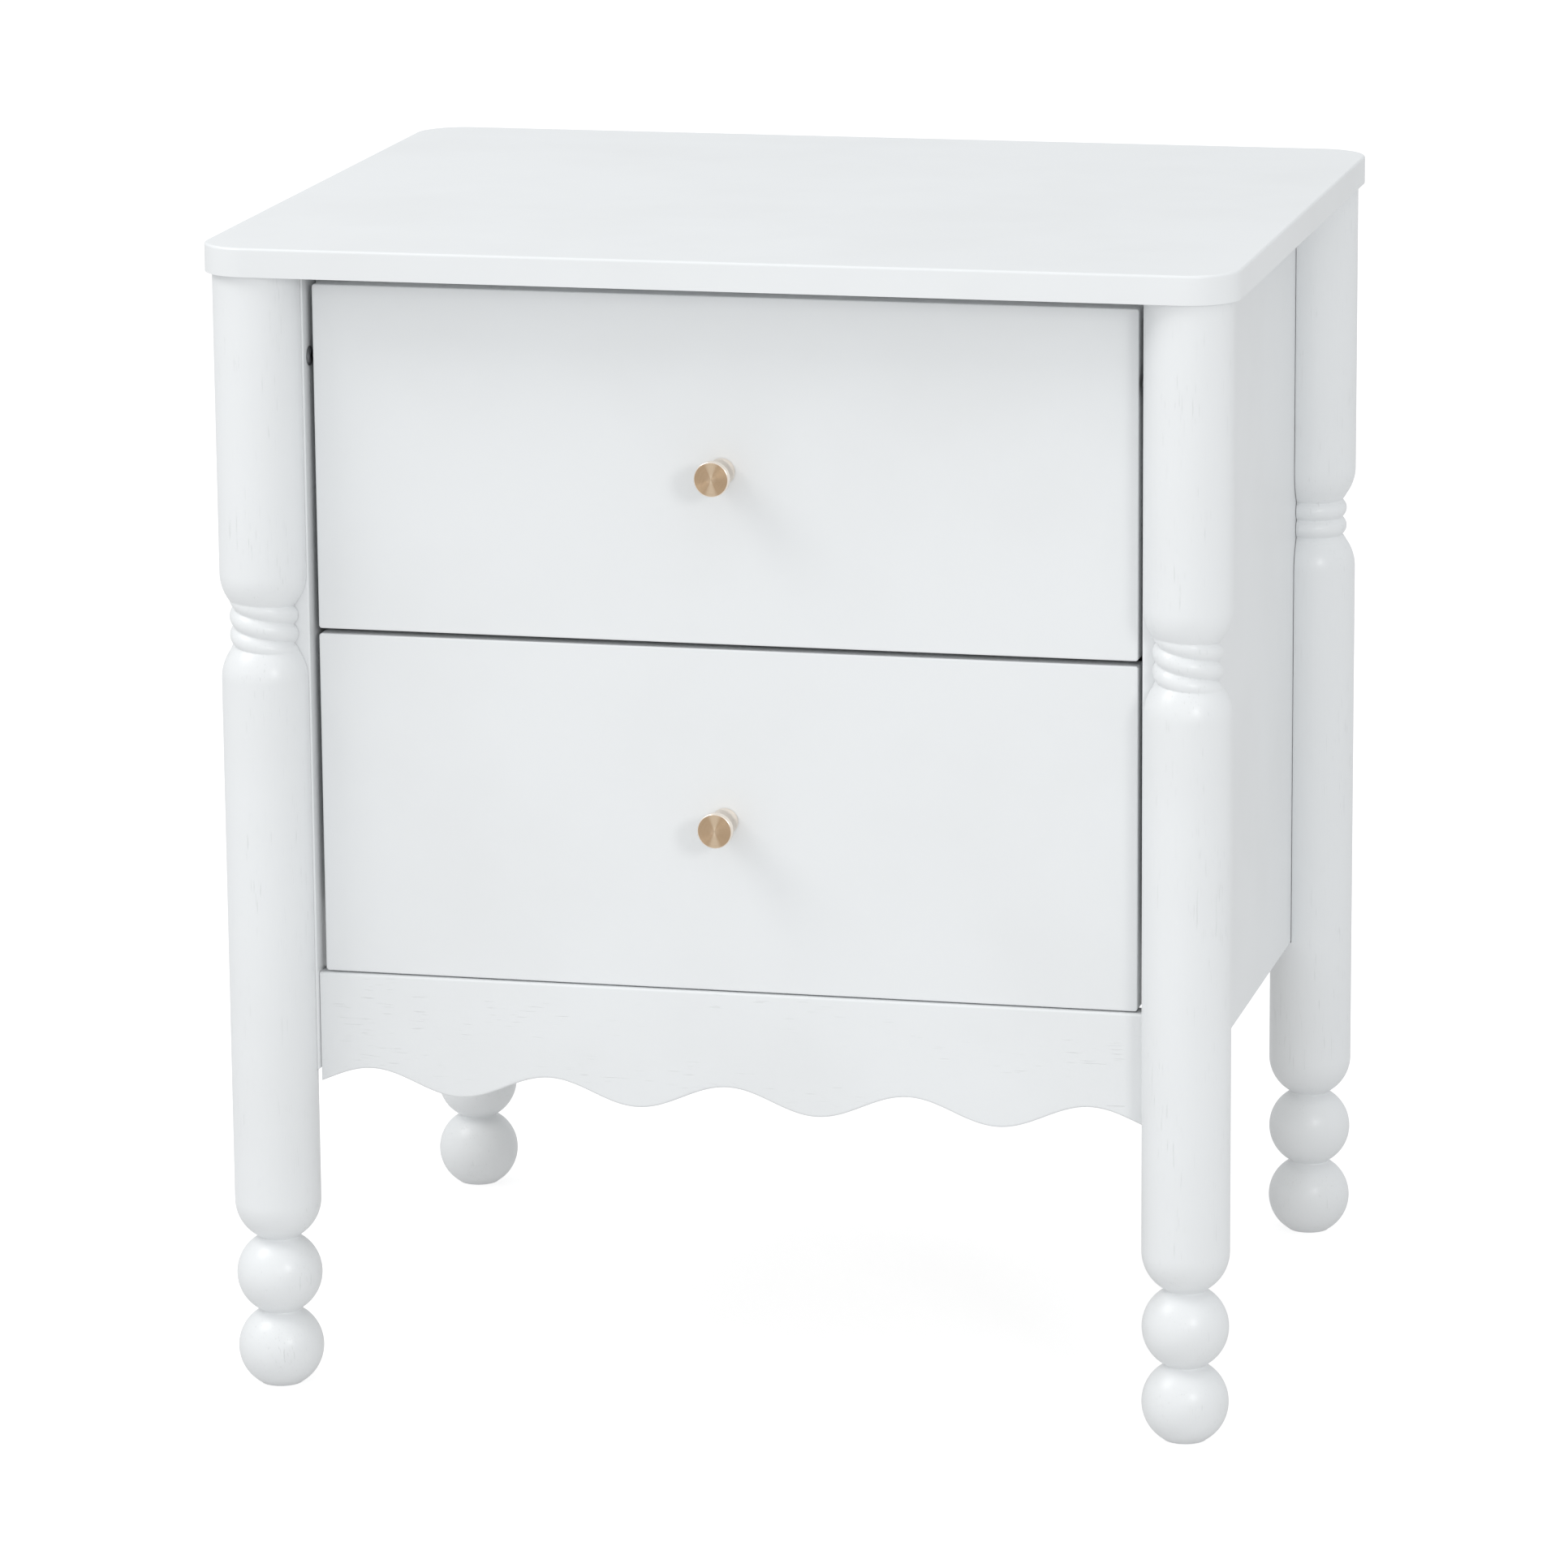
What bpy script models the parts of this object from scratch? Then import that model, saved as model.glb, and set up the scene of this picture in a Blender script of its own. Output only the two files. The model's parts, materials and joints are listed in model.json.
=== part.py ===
"""Two-drawer nightstand with turned corner legs, let-in side panels and a scalloped apron.

Metres, +Z up, front towards -Y. The origin is on the floor, under the middle of the top board.
"""

import math

import bmesh
import bpy
from mathutils import Vector

# Overall sizes
overall_height = 0.610
leg_spacing_x = 0.4855  # between leg axes, across the front
leg_spacing_y = 0.3925  # between leg axes, front to back
fit_gap = 0.0003  # left between pieces that touch
facets = 24  # round a leg

# Top board
top_thickness = 0.015
top_overhang = 0.0035  # past the outside of the legs
top_edge_round = 0.002

# Turned legs
leg_diameter = 0.0455
foot_flat_radius = 0.0107
ball_radius = 0.0225
neck_radius = 0.011
neck_land = 0.001
ring_height = 0.4092  # middle groove of the bead pair, above the floor
bead_radius = 0.018
bead_pitch = 0.0098
groove_radius = 0.015
shoulder_length = 0.0182

# Side panels, let into the legs
side_thickness = 0.016
side_proud = 0.001  # inner face past the legs' inner tangent
side_set_in = 0.0014  # edge of the panel past the leg's axis, towards the middle
side_bottom = 0.171

# Back panel and front rail
back_thickness = 0.004
back_set_in = 0.0005  # in from the side panels' rear edges
rail_depth = 0.040
rail_thickness = 0.015
rail_clearance = 0.0015  # behind the drawer fronts

# Scalloped apron
apron_thickness = 0.015
apron_set_in = 0.005  # front face behind the front legs' axes
apron_top = 0.223
scallop_middle = 0.1656  # mean height of the wavy edge
scallop_depth = 0.0066  # half of the wave's height
scallop_pitch = 0.09575
scallop_steps = 120

# Drawer fronts
front_thickness = 0.015
front_set_in = 0.0075  # front face behind the front legs' axes
front_side_gap = 0.0032
front_top_gap = 0.008
front_gap = 0.0027  # between the two fronts
front_bottom_gap = 0.0006  # over the apron
front_edge_round = 0.001

# Drawer boxes
box_wall = 0.012
box_rise = 0.023  # underside of the sides above the front's lower edge
box_top_drop = 0.0295  # top of the sides below the front's upper edge
box_back_gap = 0.009  # behind the box, to the back panel
bottom_thickness = 0.005
bottom_rise = 0.010  # underside of the bottom above the sides' lower edge
groove_depth = 0.006

# Three-member ball-bearing runners
runner_space = 0.0127  # between the side panel and the drawer's side
runner_height = 0.035
runner_sheet = 0.0012
runner_set_in = 0.003  # front end behind the drawer front
runner_end_gap = 0.003  # rear end short of the drawer's back
ball_space = 0.0028  # between nested lips
lip_clearance = 0.0015  # between a lip's tip and the sheet it faces

# Knobs and their screws
knob_head_radius = 0.0091
knob_head_length = 0.0045
knob_stem_radius = 0.0070
knob_projection = 0.0235
knob_chamfer = 0.0005
screw_radius = 0.002
screw_head_radius = 0.004
screw_head_length = 0.0022
screw_grip = 0.009  # length inside the knob
screw_clearance = 0.0003  # round the shank

# Bolts through the side panels into the legs
bolt_top_drop = 0.046  # below the top board
bolt_radius = 0.003
bolt_head_radius = 0.005
bolt_head_length = 0.0018
bolt_cover = 0.0047  # wood left between the bolt's end and the outside of the leg
bolt_clearance = 0.0003  # round the shank
bolt_hole_end = 0.001  # hole left past the end
bolt_edge_clearance = 0.0005  # between a rear bolt's head and the back panel

# Places worked out from the sizes above
leg_radius = leg_diameter / 2
leg_x = leg_spacing_x / 2
leg_y = leg_spacing_y / 2
board_underside = overall_height - top_thickness
inner_x = leg_x - leg_radius - side_proud  # inner face of the side panels
side_outer_x = inner_x + side_thickness
side_end_y = leg_y - side_set_in
back_rear_y = side_end_y - back_set_in
back_front_y = back_rear_y - back_thickness
apron_front_y = apron_set_in - leg_y
front_face_y = front_set_in - leg_y
front_rear_y = front_face_y + front_thickness
front_low = apron_top + front_bottom_gap
front_height = (board_underside - front_top_gap - front_gap - front_low) / 2
box_height = front_height - box_rise - box_top_drop
box_outer_x = inner_x - runner_space
box_rear_y = back_front_y - box_back_gap
runner_front_y = front_rear_y + runner_set_in
runner_rear_y = box_rear_y - runner_end_gap
bolt_set_in = side_set_in + back_set_in + back_thickness + bolt_edge_clearance + bolt_head_radius
bolt_length = leg_radius + math.sqrt(leg_radius**2 - bolt_set_in**2) - bolt_cover
bolt_y = leg_y - bolt_set_in
bolt_heights = {"upper": board_underside - bolt_top_drop}
corners = [
    (row, side, x_side, y_side)
    for row, y_side in (("front", -1), ("rear", 1))
    for side, x_side in (("left", -1), ("right", 1))
]

colours = {
    "white_paint": ((0.80, 0.81, 0.82, 1), 0.42, 0.0),
    "drawer_board": ((0.78, 0.77, 0.74, 1), 0.50, 0.0),
    "zinc_steel": ((0.62, 0.63, 0.65, 1), 0.32, 1.0),
    "brushed_brass": ((0.72, 0.58, 0.42, 1), 0.30, 1.0),
}


def clear_scene():
    for obj in list(bpy.data.objects):
        bpy.data.objects.remove(obj, do_unlink=True)
    for mesh in list(bpy.data.meshes):
        bpy.data.meshes.remove(mesh)


def new_collection(name):
    collection = bpy.data.collections.new(name)
    bpy.context.scene.collection.children.link(collection)
    return collection


def make_material(name):
    colour, roughness, metallic = colours[name]
    material = bpy.data.materials.new(name)
    material.use_nodes = True
    shader = material.node_tree.nodes["Principled BSDF"]
    shader.inputs["Base Color"].default_value = colour
    shader.inputs["Roughness"].default_value = roughness
    shader.inputs["Metallic"].default_value = metallic
    return material


def place(obj, location, parent=None, collection=None):
    (collection or parts).objects.link(obj)
    obj.parent = parent
    obj.location = Vector(location) - (parent.location if parent else Vector())
    return obj


def axis_empty(name, location):
    empty = bpy.data.objects.new(name, None)
    empty.empty_display_size = 0.03
    return place(empty, location)


def smooth(mesh):
    mesh.shade_smooth()
    mesh.set_sharp_from_angle(angle=math.radians(40))


def box_mesh(name, size):
    mesh = bpy.data.meshes.new(name)
    shape = bmesh.new()
    bmesh.ops.create_cube(shape, size=1.0)
    bmesh.ops.scale(shape, verts=shape.verts, vec=size)
    shape.to_mesh(mesh)
    shape.free()
    return mesh


def add_box(name, low, high, material, parent=None, edge_round=0.0):
    """A board between two opposite corners."""
    low, high = Vector(low), Vector(high)
    obj = bpy.data.objects.new(name, box_mesh(name, high - low))
    obj.data.materials.append(materials[material])
    place(obj, (low + high) / 2, parent)
    if edge_round:
        bevel = obj.modifiers.new("rounded edges", "BEVEL")
        bevel.width = edge_round
        bevel.segments = 2
        bevel.show_render = bevel.show_viewport
    return obj


def box_cutter(name, low, high):
    low, high = Vector(low), Vector(high)
    obj = bpy.data.objects.new(name, box_mesh(name, high - low))
    return hide_cutter(place(obj, (low + high) / 2, collection=cutters))


def hole_cutter(name, centre, radius, length, turn):
    """A round cutter whose axis is turned from Z onto the hole."""
    mesh = bpy.data.meshes.new(name)
    shape = bmesh.new()
    bmesh.ops.create_cone(
        shape, cap_ends=True, segments=16, radius1=radius, radius2=radius, depth=length
    )
    shape.to_mesh(mesh)
    shape.free()
    obj = bpy.data.objects.new(name, mesh)
    obj.rotation_euler = turn
    return hide_cutter(place(obj, centre, collection=cutters))


def hide_cutter(obj):
    obj.hide_render = True
    obj.display_type = "WIRE"
    return obj


def cut(obj, cutter):
    boolean = obj.modifiers.new("cut " + cutter.name, "BOOLEAN")
    boolean.operation = "DIFFERENCE"
    boolean.solver = "EXACT"
    boolean.object = cutter


def add_outline(name, points, length, centre, material, parent=None):
    """A closed outline in the X-Z plane, extruded evenly both ways along Y."""
    curve = bpy.data.curves.new(name, "CURVE")
    curve.dimensions = "2D"
    curve.fill_mode = "BOTH"
    curve.extrude = length / 2
    spline = curve.splines.new("POLY")
    spline.points.add(len(points) - 1)
    for point, (x, z) in zip(spline.points, points):
        point.co = (x, z, 0, 1)
    spline.use_cyclic_u = True
    curve.materials.append(materials[material])
    obj = bpy.data.objects.new(name, curve)
    obj.rotation_euler = (math.radians(90), 0, 0)
    return place(obj, centre, parent)


def arc(centre_r, centre_z, radius, start, end, steps):
    """Profile points round a circle, angles in degrees up from the outward direction."""
    points = []
    for step in range(steps + 1):
        angle = math.radians(start + (end - start) * step / steps)
        points.append((centre_r + radius * math.cos(angle), centre_z + radius * math.sin(angle)))
    return points


def turned_mesh(name, profile, steps=facets):
    """The solid that a profile sweeps round Z. The profile runs down its outer side."""
    mesh = bpy.data.meshes.new(name + "_profile")
    mesh.from_pydata([(r, 0, z) for r, z in profile], [(i, i + 1) for i in range(len(profile) - 1)], [])
    guide = bpy.data.objects.new(name + "_profile", mesh)
    cutters.objects.link(guide)
    screw = guide.modifiers.new("turn", "SCREW")
    screw.axis = "Z"
    screw.angle = math.radians(360)
    screw.steps = steps
    screw.render_steps = steps
    screw.use_merge_vertices = True
    screw.merge_threshold = 0.00001
    graph = bpy.context.evaluated_depsgraph_get()
    solid = bpy.data.meshes.new_from_object(guide.evaluated_get(graph))
    solid.name = name
    bpy.data.objects.remove(guide, do_unlink=True)
    bpy.data.meshes.remove(mesh)
    smooth(solid)
    return solid


def add_turned(name, mesh, centre, material, parent=None, turn=(0, 0, 0)):
    """A turned solid. Pieces that share a shape share its mesh."""
    if not mesh.materials:
        mesh.materials.append(materials[material])
    obj = bpy.data.objects.new(name, mesh)
    obj.rotation_euler = turn
    return place(obj, centre, parent)


def leg_profile():
    """From the top of the leg down to the floor: bead pair, plain length, ball and foot."""
    shoulder_drop = leg_radius - groove_radius
    shoulder_radius = (shoulder_length**2 + shoulder_drop**2) / (2 * shoulder_drop)
    shoulder_angle = math.degrees(math.asin(shoulder_length / shoulder_radius))
    shoulder_centre = leg_radius - shoulder_radius
    bead_drop = bead_radius - groove_radius
    bead_round = ((bead_pitch / 2) ** 2 + bead_drop**2) / (2 * bead_drop)
    bead_angle = math.degrees(math.asin(bead_pitch / 2 / bead_round))
    neck_angle = math.degrees(math.acos(neck_radius / ball_radius))
    foot_angle = math.degrees(math.acos(foot_flat_radius / ball_radius))
    neck_rise = ball_radius * math.sin(math.radians(neck_angle))
    foot_height = ball_radius * math.sin(math.radians(foot_angle))
    ball_height = foot_height + 2 * neck_rise + neck_land
    end_angle = math.degrees(math.acos(neck_radius / leg_radius))
    end_height = ball_height + neck_rise + neck_land + leg_radius * math.sin(math.radians(end_angle))

    points = [(0, board_underside - fit_gap), (leg_radius, board_underside - fit_gap)]
    upper = ring_height + bead_pitch + shoulder_length
    points += arc(shoulder_centre, upper, shoulder_radius, 0, -shoulder_angle, 4)
    for side in (1, -1):
        crest = ring_height + side * bead_pitch / 2
        points += arc(bead_radius - bead_round, crest, bead_round, bead_angle, -bead_angle, 4)[1:]
    lower = ring_height - bead_pitch - shoulder_length
    points += arc(shoulder_centre, lower, shoulder_radius, shoulder_angle, 0, 4)[1:]
    points += arc(0, end_height, leg_radius, 0, -end_angle, 5)
    points += arc(0, ball_height, ball_radius, neck_angle, -neck_angle, 8)
    points += arc(0, foot_height, ball_radius, neck_angle, -foot_angle, 8)
    points.append((0, 0))
    return points


def build_legs():
    """Each leg has a square notch that the side panel sits in, and a blind hole for each bolt."""
    mesh = turned_mesh("leg", leg_profile())
    reach = leg_diameter  # far enough to clear the leg
    notch_x = side_outer_x + fit_gap
    notch_y = side_end_y + fit_gap
    for row, side, x_side, y_side in corners:
        leg = add_turned(f"leg_{row}_{side}", mesh, (x_side * leg_x, y_side * leg_y, 0), "white_paint")
        along_x = sorted((x_side * notch_x, x_side * (notch_x - reach)))
        along_y = sorted((y_side * notch_y, y_side * (notch_y - reach)))
        low = (along_x[0], along_y[0], side_bottom - fit_gap)
        high = (along_x[1], along_y[1], overall_height)
        cut(leg, box_cutter(f"notch_{row}_{side}", low, high))
        for level in bolt_heights:
            cut(leg, bolt_holes[(level, row, side)])


def build_bolts():
    """Bolts run outwards through each side panel, heads inside the cabinet."""
    head = [(0, bolt_head_length), (bolt_head_radius * 0.8, bolt_head_length)]
    head += [(bolt_head_radius, bolt_head_length * 0.4), (bolt_head_radius, fit_gap)]
    shank = [(bolt_radius, fit_gap), (bolt_radius, -bolt_length), (0, -bolt_length)]
    mesh = turned_mesh("leg_bolt", head + shank, 16)
    holes = {}
    for level, z in bolt_heights.items():
        for row, side, x_side, y_side in corners:
            turn = (0, -x_side * math.radians(90), 0)
            head_seat = (x_side * inner_x, y_side * bolt_y, z)
            add_turned(f"bolt_{level}_{row}_{side}", mesh, head_seat, "zinc_steel", None, turn)
            start = inner_x - bolt_head_length
            end = inner_x + bolt_length + bolt_hole_end
            centre = (x_side * (start + end) / 2, y_side * bolt_y, z)
            name = f"hole_{level}_{row}_{side}"
            radius = bolt_radius + bolt_clearance
            holes[(level, row, side)] = hole_cutter(name, centre, radius, end - start, turn)
    return holes


def build_carcass():
    add_top(leg_x + leg_radius + top_overhang, leg_y + leg_radius + top_overhang)
    for side, x_side in (("left", -1), ("right", 1)):
        inside, outside = x_side * inner_x, x_side * side_outer_x
        panel = add_box(
            f"side_panel_{side}",
            (min(inside, outside), -side_end_y, side_bottom),
            (max(inside, outside), side_end_y, board_underside - fit_gap),
            "white_paint",
        )
        for level in bolt_heights:
            for row in ("front", "rear"):
                cut(panel, bolt_holes[(level, row, side)])
    half = inner_x - fit_gap
    add_box(
        "back_panel",
        (-half, back_front_y, side_bottom),
        (half, back_rear_y, board_underside - fit_gap),
        "white_paint",
    )
    rail_front = front_rear_y + rail_clearance
    rail_top = board_underside - fit_gap
    add_box(
        "top_front_rail",
        (-half, rail_front, rail_top - rail_thickness),
        (half, rail_front + rail_depth, rail_top),
        "white_paint",
    )


def add_top(half_width, half_depth):
    """A flat board with corners rounded about the leg axes."""
    corner = leg_radius + top_overhang
    board = add_box(
        "top_board",
        (-half_width, -half_depth, board_underside),
        (half_width, half_depth, overall_height),
        "white_paint",
    )
    shape = bmesh.new()
    shape.from_mesh(board.data)
    upright = [edge for edge in shape.edges if edge.verts[0].co.xy == edge.verts[1].co.xy]
    bmesh.ops.bevel(
        shape, geom=upright, offset=corner, offset_type="OFFSET", segments=8, profile=0.5, affect="EDGES"
    )
    shape.to_mesh(board.data)
    shape.free()
    bevel = board.modifiers.new("rounded edges", "BEVEL")
    bevel.width = top_edge_round
    bevel.segments = 2
    bevel.limit_method = "ANGLE"
    bevel.angle_limit = math.radians(40)
    bevel.show_render = bevel.show_viewport


def build_apron():
    """The lower edge is a cosine wave, with an arch in the middle."""
    half = inner_x - fit_gap
    points = [(-half, apron_top), (half, apron_top)]
    for step in range(scallop_steps + 1):
        x = half - 2 * half * step / scallop_steps
        points.append((x, scallop_middle + scallop_depth * math.cos(math.tau * x / scallop_pitch)))
    centre = (0, apron_front_y + apron_thickness / 2, 0)
    add_outline("apron", points, apron_thickness, centre, "white_paint")


def channel(web, tip, half_height):
    """A C-shaped sheet section: the web's back and the lips' tips, measured from the side panel."""
    step = runner_sheet if tip > web else -runner_sheet
    return [
        (web, -half_height),
        (tip, -half_height),
        (tip, -half_height + runner_sheet),
        (web + step, -half_height + runner_sheet),
        (web + step, half_height - runner_sheet),
        (tip, half_height - runner_sheet),
        (tip, half_height),
        (web, half_height),
    ]


def build_runners(drawer, height, drawer_axis, runner_axis):
    """Two sets of three nested members. The outer is on the cabinet, the inner on the drawer."""
    nest = runner_sheet + ball_space
    outer_half = runner_height / 2
    middle_half = outer_half - nest
    inner_half = middle_half - nest
    middle_web = fit_gap + nest
    inner_web = runner_space - fit_gap
    outer_tip = inner_web - lip_clearance
    middle_tip = inner_web - runner_sheet - lip_clearance
    inner_tip = middle_web + runner_sheet + lip_clearance
    sections = (
        ("outer", channel(fit_gap, outer_tip, outer_half), None),
        ("middle", channel(middle_web, middle_tip, middle_half), runner_axis),
        ("inner", channel(inner_web, inner_tip, inner_half), drawer_axis),
    )
    length = runner_rear_y - runner_front_y
    centre_y = (runner_rear_y + runner_front_y) / 2
    for side, x_side in (("left", -1), ("right", 1)):
        for member, section, parent in sections:
            points = [(x_side * (inner_x - from_panel), z) for from_panel, z in section]
            name = f"{drawer}_runner_{member}_{side}"
            add_outline(name, points, length, (0, centre_y, height), "zinc_steel", parent)


def build_drawer(drawer, low):
    """Front, box, knob and screw of one drawer, with its runners."""
    height = low + front_height / 2
    axis = axis_empty(f"{drawer}_drawer_slide", (0, front_face_y, height))
    runner_axis = axis_empty(f"{drawer}_runner_slide", (0, runner_front_y, height))
    half_front = inner_x - front_side_gap
    side_low = low + box_rise
    side_high = side_low + box_height
    box_inner_x = box_outer_x - box_wall
    box_front_y = front_rear_y + fit_gap
    bottom_low = side_low + bottom_rise
    bottom_high = bottom_low + bottom_thickness

    front = add_box(
        f"{drawer}_front",
        (-half_front, front_face_y, low),
        (half_front, front_rear_y, low + front_height),
        "white_paint",
        axis,
        front_edge_round,
    )
    left = add_box(
        f"{drawer}_side_left",
        (-box_outer_x, box_front_y, side_low),
        (-box_inner_x, box_rear_y, side_high),
        "drawer_board",
        axis,
    )
    right = add_box(
        f"{drawer}_side_right",
        (box_inner_x, box_front_y, side_low),
        (box_outer_x, box_rear_y, side_high),
        "drawer_board",
        axis,
    )
    add_box(
        f"{drawer}_back",
        (-box_inner_x + fit_gap, box_rear_y - box_wall, bottom_high + fit_gap),
        (box_inner_x - fit_gap, box_rear_y, side_high),
        "drawer_board",
        axis,
    )
    bottom_x = box_inner_x + groove_depth
    bottom_front = front_rear_y - groove_depth
    add_box(
        f"{drawer}_bottom",
        (-bottom_x, bottom_front, bottom_low),
        (bottom_x, box_rear_y, bottom_high),
        "drawer_board",
        axis,
    )
    groove = box_cutter(
        f"{drawer}_bottom_groove",
        (-bottom_x - fit_gap, bottom_front - fit_gap, bottom_low - fit_gap),
        (bottom_x + fit_gap, box_rear_y + fit_gap, bottom_high + fit_gap),
    )
    for board in (front, left, right):
        cut(board, groove)
    build_knob(drawer, height, axis, front)
    build_runners(drawer, height, axis, runner_axis)


def build_knob(drawer, height, axis, front):
    """A disc head on a straight stem, held by a screw from inside the drawer."""
    turn = (math.radians(90), 0, 0)  # profile's +Z faces the front
    neck = knob_projection - knob_head_length
    hole_radius = screw_radius + screw_clearance
    profile = [(0, knob_projection), (knob_head_radius - knob_chamfer, knob_projection)]
    profile += [(knob_head_radius, knob_projection - knob_chamfer), (knob_head_radius, neck)]
    profile += [(knob_stem_radius, neck), (knob_stem_radius, fit_gap), (hole_radius, fit_gap)]
    profile += [(hole_radius, screw_grip + fit_gap), (0, screw_grip + fit_gap)]
    knob_mesh = turned_mesh(f"{drawer}_knob", profile)
    add_turned(f"{drawer}_knob", knob_mesh, (0, front_face_y, height), "brushed_brass", axis, turn)

    head_face = -front_thickness - fit_gap
    profile = [(0, screw_grip), (screw_radius, screw_grip), (screw_radius, head_face)]
    profile += [(screw_head_radius, head_face), (screw_head_radius, head_face - screw_head_length)]
    profile += [(0, head_face - screw_head_length)]
    screw_mesh = turned_mesh(f"{drawer}_knob_screw", profile, 16)
    add_turned(f"{drawer}_knob_screw", screw_mesh, (0, front_face_y, height), "zinc_steel", axis, turn)
    hole = hole_cutter(
        f"{drawer}_screw_hole",
        (0, (front_face_y + front_rear_y) / 2, height),
        hole_radius,
        front_thickness * 2,
        turn,
    )
    cut(front, hole)


clear_scene()
parts = new_collection("nightstand")
cutters = new_collection("cutters")
materials = {name: make_material(name) for name in colours}
bolt_holes = build_bolts()
build_legs()
build_carcass()
build_apron()
build_drawer("lower", front_low)
build_drawer("upper", front_low + front_height + front_gap)
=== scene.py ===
# Two-drawer nightstand: finished pieces, paint, metal and studio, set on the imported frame.
import json
import math

import bmesh
import bpy
from mathutils import Matrix, Vector

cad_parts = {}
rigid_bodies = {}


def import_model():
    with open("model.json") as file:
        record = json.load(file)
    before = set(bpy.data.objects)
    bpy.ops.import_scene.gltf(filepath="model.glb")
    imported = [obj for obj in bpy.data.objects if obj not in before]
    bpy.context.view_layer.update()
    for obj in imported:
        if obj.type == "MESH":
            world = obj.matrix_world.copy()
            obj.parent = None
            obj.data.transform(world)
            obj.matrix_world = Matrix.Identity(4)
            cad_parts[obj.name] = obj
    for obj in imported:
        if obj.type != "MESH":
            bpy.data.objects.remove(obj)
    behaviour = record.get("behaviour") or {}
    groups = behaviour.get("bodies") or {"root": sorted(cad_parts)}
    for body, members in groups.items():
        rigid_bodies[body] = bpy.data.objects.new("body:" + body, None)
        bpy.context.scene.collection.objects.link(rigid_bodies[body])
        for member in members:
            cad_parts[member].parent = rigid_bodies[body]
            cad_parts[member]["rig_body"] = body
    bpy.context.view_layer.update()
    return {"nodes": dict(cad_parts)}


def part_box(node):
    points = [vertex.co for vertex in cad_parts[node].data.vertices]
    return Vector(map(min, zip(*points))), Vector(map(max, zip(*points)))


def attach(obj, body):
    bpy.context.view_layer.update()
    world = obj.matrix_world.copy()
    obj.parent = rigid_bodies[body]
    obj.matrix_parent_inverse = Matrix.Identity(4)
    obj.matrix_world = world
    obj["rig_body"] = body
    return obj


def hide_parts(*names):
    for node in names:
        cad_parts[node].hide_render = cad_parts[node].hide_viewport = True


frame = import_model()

scene = bpy.context.scene
nodes = frame["nodes"]


class Wire:
    # One output of a node tree, so that node maths reads as plain arithmetic.
    def __init__(self, tree, socket=None):
        self.tree = tree
        self.socket = socket

    def node(self, kind, settings=None, values=None, output=0):
        made = self.tree.nodes.new(kind)
        for name, value in (settings or {}).items():
            setattr(made, name, value)
        for key, value in (values or {}).items():
            for item in reversed(value) if isinstance(value, list) else [value]:
                if isinstance(item, Wire):
                    self.tree.links.new(item.socket, made.inputs[key])
                else:
                    made.inputs[key].default_value = item
        return Wire(self.tree, made.outputs[output] if made.outputs else None)

    def also(self, output):
        return Wire(self.tree, self.socket.node.outputs[output])

    def maths(self, operation, *terms):
        return self.node("ShaderNodeMath", {"operation": operation}, dict(enumerate(terms)))

    def __add__(self, other):
        return self.maths("ADD", self, other)

    def __sub__(self, other):
        return self.maths("SUBTRACT", self, other)

    def __rsub__(self, other):
        return self.maths("SUBTRACT", other, self)

    def __mul__(self, other):
        return self.maths("MULTIPLY", self, other)

    def __truediv__(self, other):
        return self.maths("DIVIDE", self, other)

    __radd__, __rmul__ = __add__, __mul__

    def root(self):
        return self.maths("SQRT", self.atLeast(0.0))

    def atLeast(self, other, blend=0.0):
        return self.maths("SMOOTH_MAX", self, other, blend) if blend else self.maths("MAXIMUM", self, other)

    def atMost(self, other):
        return self.maths("MINIMUM", self, other)

    def fade(self, low, high):
        return self.node("ShaderNodeMapRange", {"interpolation_type": "SMOOTHSTEP"}, {0: self, 1: low, 2: high})

    def noise(self, where, cells, detail=2.0, roughness=0.5):
        # cells: how many per metre along X, Y and Z
        spread = self.node("ShaderNodeMapping", None, {"Vector": where, "Scale": tuple(cells)})
        sockets = {"Vector": spread, "Scale": 1.0, "Detail": detail, "Roughness": roughness}
        return self.node("ShaderNodeTexNoise", None, sockets)

    def tint(self, amount, plain, other):
        # plain where amount is 0, other where it is 1
        return self.node("ShaderNodeMix", {"data_type": "RGBA"}, {0: amount, 6: plain, 7: other}, 2)

    def bump(self, height, depth):
        return self.node("ShaderNodeBump", None, {"Strength": 1.0, "Distance": depth, "Height": height})


def newMaterial(name, coordinates="Object"):
    material = bpy.data.materials.new(name)
    material.use_nodes = True
    material.node_tree.nodes.clear()
    wire = Wire(material.node_tree)
    return material, wire, wire.node("ShaderNodeTexCoord", output=coordinates)


def finishMaterial(wire, sockets):
    surface = wire.node("ShaderNodeBsdfPrincipled", None, sockets)
    wire.node("ShaderNodeOutputMaterial", None, {"Surface": surface})


paint = {
    "shade": (0.800, 0.815, 0.825, 1),
    "thinShade": (0.775, 0.788, 0.796, 1),  # where the roller left less
    "poreShade": (0.60, 0.61, 0.61, 1), "poreTint": 0.32,
    "roughness": 0.34,
    "roughnessSwing": 0.07,
    "coat": 0.10,
    "coatRoughness": 0.22,
    "peelCells": (620, 620, 620),  # orange peel
    "driftCells": (9, 9, 9),
    "poreWidthCells": 1500,
    "poreLengthCells": 75,
    "patchWidthCells": 60,
    "patchLengthCells": 14,
    "peelHeight": 0.08,  # as a share of a pore's depth
    "waveHeight": 0.16,
    "poreDepth": 0.00009,
    "thinFade": (0.35, 0.75), "poreFade": (0.66, 0.76), "patchFade": (0.42, 0.62),
    "poreRoughness": 0.15,
    "waveCells": 0.4,  # as a share of the pores' cells
}


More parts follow.
